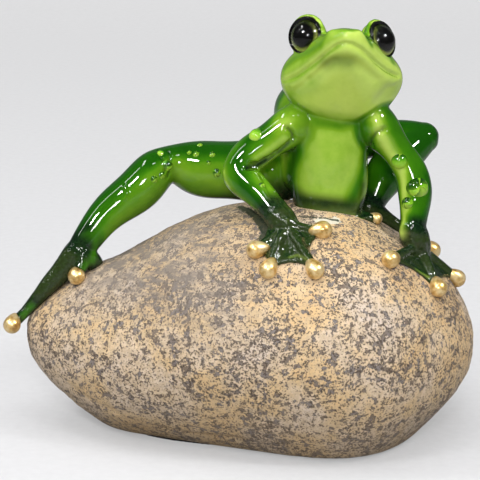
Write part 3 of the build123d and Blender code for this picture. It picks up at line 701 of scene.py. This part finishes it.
def foot_cut(piece, height):
    """Cuts a closed piece off flat below a height."""
    form = bmesh.new()
    form.from_mesh(piece.data)
    bmesh.ops.bisect_plane(form, geom=form.verts[:] + form.edges[:] + form.faces[:], plane_co=(0, 0, height),
        plane_no=(0, 0, 1), clear_inner=True)
    bmesh.ops.holes_fill(form, edges=[e for e in form.edges if e.is_boundary], sides=0)
    bmesh.ops.remove_doubles(form, verts=form.verts, dist=CUT_DOUBLES)
    bmesh.ops.recalc_face_normals(form, faces=form.faces)
    if form.calc_volume(signed=True) < 0:
        bmesh.ops.reverse_faces(form, faces=form.faces)
    form.to_mesh(piece.data)
    form.free()


stone = wrapped("pebble_stone", 7)
LEDGES = [
    ([(150, 426), (185, 433), (214, 438), (240, 441)], 0.9, -0.5),
    ([(60, 380), (90, 400), (120, 414)], 1.0, -0.4),
    ([(150, 268), (185, 246), (215, 230)], 0.8, -0.35),
    ([(160, 278), (196, 256), (232, 242)], 0.7, -0.3),
    ([(335, 224), (372, 234), (396, 242)], 0.8, -0.35),
]
mould(stone, LEDGES)

# Wear: nothing is worn away under the frog or at the foot, and the pebble meets the skin that rests on it.
CONTACT_REACH = 3.0
CONTACT_LIFT = 0.12
stone_points = points_of(stone.data)
stone_normals = normals_of(stone.data)
skin_contact = KDTree(len(skin_points))
for number, place in enumerate(skin_points):
    skin_contact.insert(place, number)
skin_contact.balance()
for number, place in enumerate(stone_points):
    spot = Vector(place)
    broad = noise.fractal(spot * 30, 1.0, 2.0, 3)
    dents = noise.fractal(spot * 120 + Vector((7, 3, 1)), 0.9, 2.0, 4)
    grain = noise.fractal(spot * 420 + Vector((2, 9, 4)), 0.8, 2.0, 3)
    strata = noise.fractal(Vector((spot.x * 40, spot.y * 60, spot.z * 330)), 0.9, 2.0, 3)
    wear = -0.45 + 0.45 * broad + 0.22 * dents + 0.10 * grain + 0.12 * strata
    contact = skin_contact.find(spot)[2] / MM
    free = float(np.prod(eased(np.array([contact, spot.z / MM]), 1.0, 6.0)))
    lift = CONTACT_LIFT * (contact < CONTACT_REACH)
    stone_points[number] += stone_normals[number] * MM * (min(wear, 0) * free + lift)
set_points(stone.data, stone_points)
foot_cut(stone, foot_height)
cavity = wrapped("pebble_cavity", 5)
cavity_points = points_of(cavity.data)
set_points(cavity.data, cavity_points - normals_of(cavity.data) * WALL)
foot_cut(cavity, foot_height + WALL)
bpy.data.objects.remove(closed_casting)
worked(cavity, bpy.ops.mesh.flip_normals)
stone = joined([stone, cavity], "pebble_stone")
for name in ("stone_bung", "base_felt"):
    tool = cast_of(node[name], name + "_seat")
    apply_modifier(stone, "BOOLEAN", operation="DIFFERENCE", object=tool, solver="MANIFOLD")
    bpy.data.objects.remove(tool)
stone.data.shade_smooth()
stone.data.set_sharp_from_angle(angle=radians(CREASE))
stone_points = points_of(stone.data)
glue = brushed(stone_points, stone_tree, [(318, 219), (327, 220), (337, 219)], 1.5)
# Green-black marks on the pebble: beside the right arm, and a line along the belly's foot.
DARK_MARKS = [
    ([(240, 206), (250, 211), (259, 220), (265, 231), (263, 242)], 1.7),
    ([(290, 216), (345, 221)], 0.6),
]
stain = np.maximum.reduce([brushed(stone_points, stone_tree, places, width) for places, width in DARK_MARKS])
keep_values(stone.data, "glue", glue)
keep_values(stone.data, "stain", stain)
kept(stone, "pebble", "stone_shell")

# Felt: pressed fibres with a soft edge.
FELT_GRAIN = 0.45 * MM
FIBRE_DEPTH = 0.05
felt = cast_of(node["base_felt"], "base_felt_pressed")
apply_modifier(felt, "REMESH", mode="VOXEL", voxel_size=FELT_GRAIN)
apply_modifier(felt, "SMOOTH", factor=0.5, iterations=4)
felt_points = points_of(felt.data)
felt_normals = normals_of(felt.data)
for number, place in enumerate(felt_points):
    push = -FIBRE_DEPTH + FIBRE_DEPTH * noise.noise(Vector(place) * 1500)
    felt_points[number] += felt_normals[number] * MM * min(push, 0)
set_points(felt.data, felt_points)
felt.data.shade_smooth()
kept(felt, "felt", "base_felt")


# Materials.
def material(name):
    """Starts a material and hands back the material, its nodes' tree and its shader."""
    made = bpy.data.materials.new(name)
    made.use_nodes = True
    return made, made.node_tree, made.node_tree.nodes["Principled BSDF"]


def finished(shader, **settings):
    """Sets a shader's own sockets, such as Coat_Roughness."""
    for name, value in settings.items():
        shader.inputs[name.replace("_", " ")].default_value = value


def painted(pieces, made):
    """Gives pieces a material, in place of any that they have."""
    for piece in pieces:
        piece.data.materials.clear()
        piece.data.materials.append(made)


def add_node(tree, kind, inputs=(), **settings):
    """Adds a node with its settings and its inputs, which are values or other nodes' outputs."""
    new = tree.nodes.new("ShaderNode" + kind)
    for name, value in settings.items():
        setattr(new, name, value)
    for name, value in dict(inputs).items():
        if isinstance(value, bpy.types.NodeSocket):
            tree.links.new(value, new.inputs[name])
        else:
            new.inputs[name].default_value = value
    return new


def ramp(tree, factor, stops):
    """Adds a colour ramp through its stops."""
    new = add_node(tree, "ValToRGB", {"Fac": factor})
    elements = new.color_ramp.elements
    while len(elements) < len(stops):
        elements.new(0.5)
    for element, (place, colour) in zip(elements, stops):
        element.position = place
        element.color = (*colour, 1)
    return new.outputs["Color"]


def rising(tree, factor, low, high, least=0.0, most=1.0):
    """Turns a value into a share that goes from least to most as the value goes from low to high."""
    return ramp(tree, factor, [(low, (least,) * 3), (high, (most,) * 3)])


def ranged(tree, value, low, high, least=0.0, most=1.0):
    """Turns a value that goes from low to high, either way round, into one from least to most."""
    return add_node(tree, "MapRange", {"Value": value, "From Min": low, "From Max": high, "To Min": least,
        "To Max": most}).outputs[0]


def times(tree, first, second, **settings):
    """Multiplies two values."""
    return add_node(tree, "Math", {0: first, 1: second}, operation="MULTIPLY", **settings).outputs[0]


def grain_of(tree, place, scale, detail=4.0, roughness=0.6):
    """Adds a noise over the object, as fine as its scale per metre."""
    return add_node(tree, "TexNoise", {"Vector": place, "Scale": scale, "Detail": detail,
        "Roughness": roughness}).outputs["Fac"]


def mixed(tree, share, first, second):
    """Mixes two colours by a share."""
    colours = {"A": first, "B": second}
    inputs = {name: (*colour, 1) if isinstance(colour, tuple) else colour for name, colour in colours.items()}
    new = add_node(tree, "Mix", {"Factor": share}, data_type="RGBA")
    for place, name in ((6, "A"), (7, "B")):
        if isinstance(inputs[name], bpy.types.NodeSocket):
            tree.links.new(inputs[name], new.inputs[place])
        else:
            new.inputs[place].default_value = inputs[name]
    return new.outputs[2]


def added(tree, first, second, share=1.0):
    """Adds a share of the second value to the first."""
    return add_node(tree, "Math", {0: second, 1: share, 2: first}, operation="MULTIPLY_ADD").outputs[0]


def bumped(tree, shader, height, distance, strength):
    """Lets a height shape the surface, up to a distance in metres."""
    bump = add_node(tree, "Bump", {"Height": height, "Distance": distance, "Strength": strength})
    tree.links.new(bump.outputs["Normal"], shader.inputs["Normal"])
    return bump.outputs["Normal"]


def shown(tree, name):
    """Reads a value kept on the mesh."""
    return add_node(tree, "Attribute", attribute_name=name).outputs["Fac"]


def lacquer(name, ripples, depth, strength):
    """Airbrushed green and black paint, with brown and black painted shade, under a clear gloss coat, rippled
    at a scale per metre to a depth in metres.
    """
    made, tree, shader = material(name)
    place = add_node(tree, "TexCoord").outputs["Object"]
    mist = grain_of(tree, place, 230.0)
    tones = added(tree, added(tree, shown(tree, "tone"), mist, 0.16), -0.08)
    green = ramp(tree, tones, [(0.0, (0.003, 0.036, 0.002)), (0.22, (0.009, 0.080, 0.001)),
        (0.5, (0.043, 0.172, 0.003)), (0.75, (0.165, 0.325, 0.014)), (1.0, (0.480, 0.640, 0.110))])
    # Brown painted shade on the undersides and in the hollow under the lips.
    green = mixed(tree, added(tree, 0.0, shown(tree, "rust"), 0.5), green, (0.085, 0.065, 0.025))
    specks = rising(tree, grain_of(tree, place, 900.0, 3.0), 0.42, 0.62)
    black = mixed(tree, specks, (0.002, 0.009, 0.004), (0.007, 0.020, 0.008))
    # The share of black: the dark castings' black paint and the black painted shade in folds.
    share = added(tree, added(tree, shown(tree, "soot"), mist, 0.2), -0.1)
    share = add_node(tree, "Clamp", {"Value": share, "Max": 0.96}).outputs[0]
    tree.links.new(mixed(tree, share, green, black), shader.inputs["Base Color"])
    finished(shader, Roughness=0.45, Specular_IOR_Level=0.0, Coat_Weight=1.0, Coat_IOR=1.42,
        Coat_Roughness=0.02)
    bump = bumped(tree, shader, grain_of(tree, place, ripples, 2.0), depth, strength)
    tree.links.new(bump, shader.inputs["Coat Normal"])
    return made


green_lacquer = lacquer("airbrushed_green_lacquer", 95.0, 0.0002, 0.5)
wet_lacquer = lacquer("wet_dark_lacquer", 520.0, 0.0007, 0.7)
for name, piece in skin_pieces.items():
    dark = name in DARK_NODES
    painted([piece], wet_lacquer if dark else green_lacquer)
    kept(piece, "dark_lacquer" if dark else "lacquer", name)


def gilt_paint():
    """Gold paint, brown where it is thin and pale where it is thick, over a glossy bead."""
    made, tree, shader = material("gold_paint")
    place = add_node(tree, "TexCoord").outputs["Object"]
    cover = grain_of(tree, place, 420.0, 5.0)
    gold = ramp(tree, cover, [(0.32, (0.36, 0.19, 0.045)), (0.44, (0.66, 0.42, 0.13)),
        (0.60, (0.86, 0.66, 0.33))])
    tree.links.new(gold, shader.inputs["Base Color"])
    finished(shader, Metallic=0.65, Roughness=0.36, Coat_Weight=0.7, Coat_Roughness=0.05)
    bumped(tree, shader, grain_of(tree, place, 600.0, 2.0), 0.00012, 0.4)
    return made


def stone_paint():
    """Ochre and pinkish paint, stippled grey and brown in drifts, with streaks along its crown and painted
    shade towards its foot.
    """
    made, tree, shader = material("stippled_stone_paint")
    place = add_node(tree, "TexCoord").outputs["Object"]
    spot = add_node(tree, "SeparateXYZ", {"Vector": place})
    patches = grain_of(tree, place, 42.0, 5.0)
    ground = ramp(tree, patches, [(0.38, (0.66, 0.44, 0.21)), (0.47, (0.70, 0.50, 0.27)),
        (0.54, (0.68, 0.53, 0.37)), (0.66, (0.64, 0.53, 0.43))])
    mottle = rising(tree, grain_of(tree, place, 520.0, 6.0, 0.7), 0.40, 0.60, most=0.7)
    ground = mixed(tree, mottle, ground, (0.50, 0.375, 0.235))
    drifts = grain_of(tree, place, 75.0, 4.0)
    blots = added(tree, grain_of(tree, place, 470.0, 5.0, 0.64), drifts, 0.24)
    grey = ramp(tree, grain_of(tree, place, 160.0, 3.0), [(0.40, (0.195, 0.145, 0.105)),
        (0.60, (0.215, 0.185, 0.170))])
    rimmed = rising(tree, blots, 0.664, 0.670)
    heart = rising(tree, blots, 0.677, 0.690)
    colour = mixed(tree, rimmed, ground, mixed(tree, heart, (0.052, 0.034, 0.022), grey))
    stipple = added(tree, grain_of(tree, place, 1350.0, 5.0, 0.66), drifts, 0.20)
    colour = mixed(tree, rising(tree, stipple, 0.642, 0.654, most=0.9), colour, (0.075, 0.052, 0.036))
    dots = add_node(tree, "TexVoronoi", {"Vector": place, "Scale": 700.0})
    chance = add_node(tree, "SeparateColor", {"Color": dots.outputs["Color"]}).outputs[0]
    small = rising(tree, added(tree, dots.outputs["Distance"], chance, 0.55), 0.20, 0.25, 0.9, 0.0)
    colour = mixed(tree, small, colour, (0.055, 0.038, 0.028))
    strata = add_node(tree, "Mapping", {"Vector": place, "Scale": (0.12, 0.3, 1.0)}).outputs["Vector"]
    streaks = rising(tree, grain_of(tree, strata, 700.0, 5.0, 0.62), 0.44, 0.58, least=0.40)
    crown = ranged(tree, spot.outputs["Z"], 0.036, 0.054)
    crown = times(tree, crown, ranged(tree, spot.outputs["X"], 0.012, -0.012))
    crown = times(tree, crown, streaks)
    colour = mixed(tree, added(tree, 0.0, crown, 0.9), colour, (0.195, 0.165, 0.138))
    # Painted shade: the pebble darkens towards its foot.
    under = ranged(tree, spot.outputs["Z"], 0.026, 0.0)
    colour = mixed(tree, added(tree, 0.0, under, 0.40), colour, (0.235, 0.175, 0.115))
    ragged = grain_of(tree, place, 900.0, 4.0)
    glued = rising(tree, added(tree, shown(tree, "glue"), ragged, 1.2), 0.90, 0.99)
    colour = mixed(tree, glued, colour, (0.66, 0.61, 0.49))
    darkened = added(tree, added(tree, shown(tree, "stain"), ragged, 1.3), -0.35)
    darkened = rising(tree, darkened, 0.72, 0.86, most=0.92)
    colour = mixed(tree, darkened, colour, (0.012, 0.026, 0.010))
    tree.links.new(colour, shader.inputs["Base Color"])
    finished(shader, Roughness=0.62, Specular_IOR_Level=0.3)
    relief = added(tree, added(tree, stipple, blots, 0.8), rimmed, -0.2)
    bumped(tree, shader, relief, 0.0006, 0.6)
    return made


def iris_paint():
    """A black pupil with a soft edge in an olive ring, with painted light that makes the ring brightest below
    and towards the nose.
    """
    made, tree, shader = material("painted_iris")
    place = add_node(tree, "TexCoord").outputs["Object"]
    ring = added(tree, added(tree, shown(tree, "ring"), grain_of(tree, place, 800.0, 3.0), 0.06), -0.03)
    # Painted light: the ring is brighter below and towards the nose.
    light = added(tree, added(tree, 0.34, shown(tree, "uphill"), -0.45), shown(tree, "inward"), 0.36)
    light = add_node(tree, "Clamp", {"Value": light}).outputs[0]
    olive = mixed(tree, light, (0.030, 0.045, 0.008), (0.42, 0.48, 0.09))
    edge = ramp(tree, ring, [(0.58, (0, 0, 0)), (0.84, (1, 1, 1)), (0.95, (1, 1, 1)), (1.0, (0.2, 0.2, 0.2))])
    tree.links.new(mixed(tree, edge, (0.002, 0.002, 0.002), olive), shader.inputs["Base Color"])
    finished(shader, Roughness=0.6, Specular_IOR_Level=0.0)
    return made


def plain(name, colour, roughness, **more):
    """Makes a nearly plain material whose colour varies a little."""
    made, tree, shader = material(name)
    place = add_node(tree, "TexCoord").outputs["Object"]
    tint = grain_of(tree, place, 300.0)
    darker = tuple(0.8 * part for part in colour)
    tree.links.new(mixed(tree, tint, darker, colour), shader.inputs["Base Color"])
    finished(shader, Roughness=roughness, **more)
    return made, tree, shader, place


def clear_glass():
    """Clear glass with a soft polish."""
    made, _, shader = material("clear_glass")
    finished(shader, Base_Color=(1, 1, 1, 1), Transmission_Weight=1.0, Roughness=0.12, IOR=1.45)
    return made


def dew_resin():
    """Clear resin drops over green, with painted shade at the upper rim and painted light below, where the
    light gathers.
    """
    made, tree, shader = material("clear_dew_resin")
    place = add_node(tree, "TexCoord").outputs["Object"]
    uphill = added(tree, 0.5, shown(tree, "uphill"), 0.62)
    uphill = added(tree, uphill, grain_of(tree, place, 300.0), 0.1)
    # Painted light: the green is brightest low in the drop.
    painted_light_below = ramp(tree, uphill, [(0.1, (0.36, 0.58, 0.055)), (0.5, (0.22, 0.47, 0.022)),
        (0.80, (0.060, 0.235, 0.008)), (1.0, (0.018, 0.105, 0.004))])
    # Painted shade along the upper rim.
    rim = rising(tree, added(tree, 0.0, shown(tree, "rise"), 2.6), 0.1, 0.75, 1.0, 0.0)
    dark = times(tree, rim, added(tree, 0.25, uphill, 0.8), use_clamp=True)
    tree.links.new(mixed(tree, dark, painted_light_below, (0.008, 0.050, 0.003)), shader.inputs["Base Color"])
    finished(shader, Specular_IOR_Level=0.0, Roughness=0.25, Coat_Weight=1.0, Coat_Roughness=0.01)
    return made


painted(bead_pieces, gilt_paint())
painted(drop_pieces, dew_resin())
painted(eye_pieces["cup"], plain("black_cup", (0.004, 0.004, 0.004), 0.5, Specular_IOR_Level=0.0,
    Coat_Weight=0.45)[0])
painted(eye_pieces["iris"], iris_paint())
painted(eye_pieces["glass"], clear_glass())
painted([stone], stone_paint())
felted, tree, shader, place = plain("pressed_black_felt", (0.012, 0.012, 0.012), 0.95, Sheen_Weight=0.3)
bumped(tree, shader, grain_of(tree, place, 2600.0, 5.0), 0.0002, 0.8)
painted([felt], felted)
rubber, tree, shader, place = plain("black_rubber", (0.020, 0.020, 0.020), 0.6)
bumped(tree, shader, grain_of(tree, place, 900.0), 0.0001, 0.4)
painted([node["stone_bung"]], rubber)
steel, tree, shader, place = plain("drawn_steel", (0.55, 0.55, 0.56), 0.32, Metallic=1.0)
drawn = add_node(tree, "Mapping", {"Vector": place, "Scale": (1.0, 1.0, 0.05)}).outputs["Vector"]
bumped(tree, shader, grain_of(tree, drawn, 4000.0), 0.00002, 0.4)
painted([node[name] for name in ("neck_pin", "shoulder_pins", "hip_pins", "seat_pins")], steel)

# Floor: a pale cloth that sweeps up behind.
FLOOR_HALF = 2.2
SWEEP = [(-2.0, 0.0), (0.9, 0.0), (1.25, 0.03), (1.5, 0.12), (1.7, 0.28), (1.82, 0.5), (1.88, 0.8),
    (1.9, 2.2)]
form = bmesh.new()
rows = [[form.verts.new((x, y, z)) for y, z in SWEEP] for x in (-FLOOR_HALF, FLOOR_HALF)]
for first, second, third, fourth in zip(rows[0], rows[1], rows[1][1:], rows[0][1:]):
    form.faces.new((first, second, third, fourth))
floor = new_piece("floor_cloth", form)
floor.data.flip_normals()
cloth, tree, shader, place = plain("pale_cloth", (0.40, 0.40, 0.41), 0.95, Specular_IOR_Level=0.1,
    Emission_Color=(1, 1, 1, 1))
far = ranged(tree, add_node(tree, "SeparateXYZ", {"Vector": place}).outputs["Y"], 0.1, 1.7, 0.32, 0.63)
seen = add_node(tree, "LightPath").outputs["Is Camera Ray"]
tree.links.new(times(tree, far, seen), shader.inputs["Emission Strength"])
painted([floor], cloth)

# Light: a pale room that is dim in reflections, a wide soft lamp above, and small lamps for the highlights,
# two of which are seen only in reflections.
ROOM_AS_LIGHT = 0.60
ROOM_IN_REFLECTIONS = 0.09
world = bpy.data.worlds.new("studio")
bpy.context.scene.world = world
world.use_nodes = True
room = world.node_tree.nodes["Background"]
room.inputs["Color"].default_value = (0.80, 0.80, 0.81, 1)
mirrored = add_node(world.node_tree, "LightPath").outputs["Is Glossy Ray"]
dimmed = ranged(world.node_tree, mirrored, 0.0, 1.0, ROOM_AS_LIGHT, ROOM_IN_REFLECTIONS)
world.node_tree.links.new(dimmed, room.inputs["Strength"])


def lamp(name, place, aim, width, height, power, mirrored=True, lights=True):
    """Hangs a soft lamp, so wide and so high, that may be left out of reflections or seen only in them."""
    bpy.ops.object.light_add(type="AREA", location=Vector(place))
    light = bpy.context.object
    light.name = name
    light.data.shape = "RECTANGLE"
    light.data.size = width
    light.data.size_y = height
    light.data.energy = power
    light.visible_glossy = mirrored
    light.visible_diffuse = lights
    light.rotation_euler = (Vector(aim) - Vector(place)).to_track_quat("-Z", "Y").to_euler()


lamp("top_lamp", (0.0, -0.1, 1.0), (0, 0, 0.05), 0.9, 0.9, 4.6, False)
lamp("front_lamp", (-0.02, -0.66, 0.38), (0, 0, 0.09), 0.115, 0.115, 2.3)
lamp("brow_lamp", (0.04, -0.34, 0.90), (0, 0, 0.09), 0.13, 0.05, 0.6)
lamp("left_lamp", (-0.72, -0.06, 0.72), (0, 0, 0.07), 0.05, 0.45, 1.6)
lamp("left_brow_lamp", (-0.42, 0.05, 0.85), (0, 0, 0.09), 0.26, 0.06, 1.0)
lamp("low_left_lamp", (-0.40, -0.45, 0.62), (0, 0, 0.09), 0.09, 0.09, 1.2, False)
lamp("right_lamp", (0.52, -0.30, 0.62), (0, 0, 0.09), 0.10, 0.10, 1.7, False)
lamp("left_spark", (-0.40, -0.45, 0.62), (0, 0, 0.11), 0.09, 0.09, 5.0, True, False)
lamp("right_spark", (0.52, -0.30, 0.62), (0, 0, 0.11), 0.09, 0.09, 6.5, True, False)

bpy.context.scene.view_settings.view_transform = "Standard"
